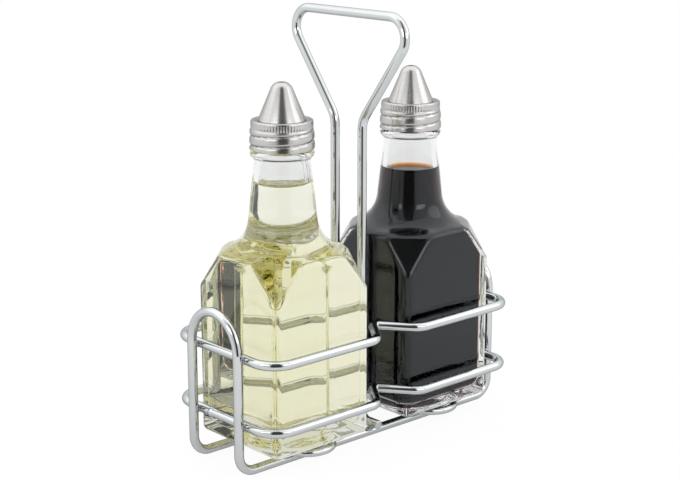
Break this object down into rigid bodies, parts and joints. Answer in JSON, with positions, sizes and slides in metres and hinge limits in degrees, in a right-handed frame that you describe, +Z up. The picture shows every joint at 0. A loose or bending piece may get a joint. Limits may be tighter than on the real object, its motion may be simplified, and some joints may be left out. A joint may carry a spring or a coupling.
{
  "type": "oil and vinegar cruet set",
  "caption": "Oil and vinegar cruets: square glass bottles with facet-cut corners and conical steel screw caps, in a welded chrome wire rack with a keystone carrying handle.",
  "frame": {"origin": "on the table under the middle of the rack, where the handle's plane meets the middle plane of the bottles", "axes": "+X along the rack from the oil bottle to the vinegar bottle, +Y from front to back along the handle's bar, +Z up"},
  "size_m": [0.1592, 0.0752, 0.195],
  "materials": {
    "rack_chrome": "bright plated",
    "cap_steel": "satin",
    "bottle_glass": "clear",
    "oil": "clear liquid",
    "vinegar": "dark liquid",
    "gasket": "soft"
  },
  "bodies": {
    "rack": {"base_wire": "rack_chrome", "lower_ring": "rack_chrome", "upper_ring": "rack_chrome", "handle": "rack_chrome", "oil_rest_loop": "rack_chrome", "vinegar_rest_loop": "rack_chrome"},
    "oil_bottle": {"oil_bottle": "bottle_glass", "oil": "oil"},
    "oil_cap_gasket": {"oil_cap_gasket": "gasket"},
    "oil_cap": {"oil_cap": "cap_steel"},
    "vinegar_bottle": {"vinegar_bottle": "bottle_glass", "vinegar": "vinegar"},
    "vinegar_cap_gasket": {"vinegar_cap_gasket": "gasket"},
    "vinegar_cap": {"vinegar_cap": "cap_steel"}
  },
  "joints": [
    {"name": "oil_bottle_lift", "type": "slide", "parent": "rack", "child": "oil_bottle", "axis": [0, 0, 1], "range_m": [0, 0.08]},
    {"name": "oil_cap_lift", "type": "slide", "parent": "oil_bottle", "child": "oil_cap_gasket", "axis": [0, 0, 1], "range_m": [0, 0.0053]},
    {"name": "oil_cap_turn", "type": "hinge", "parent": "oil_cap_gasket", "child": "oil_cap", "pos_m": [-0.0387, 0, 0.145], "axis": [0, 0, 1], "range_deg": [0, 450]},
    {"name": "vinegar_bottle_lift", "type": "slide", "parent": "rack", "child": "vinegar_bottle", "axis": [0, 0, 1], "range_m": [0, 0.08]},
    {"name": "vinegar_cap_lift", "type": "slide", "parent": "vinegar_bottle", "child": "vinegar_cap_gasket", "axis": [0, 0, 1], "range_m": [0, 0.0053]},
    {"name": "vinegar_cap_turn", "type": "hinge", "parent": "vinegar_cap_gasket", "child": "vinegar_cap", "pos_m": [0.0387, 0, 0.145], "axis": [0, 0, 1], "range_deg": [0, 450]}
  ],
  "couplings": [
    {"joint": "oil_cap_lift", "follows": "oil_cap_turn", "m_per_rad": 0.00066845},
    {"joint": "vinegar_cap_lift", "follows": "vinegar_cap_turn", "m_per_rad": 0.00066845}
  ]
}
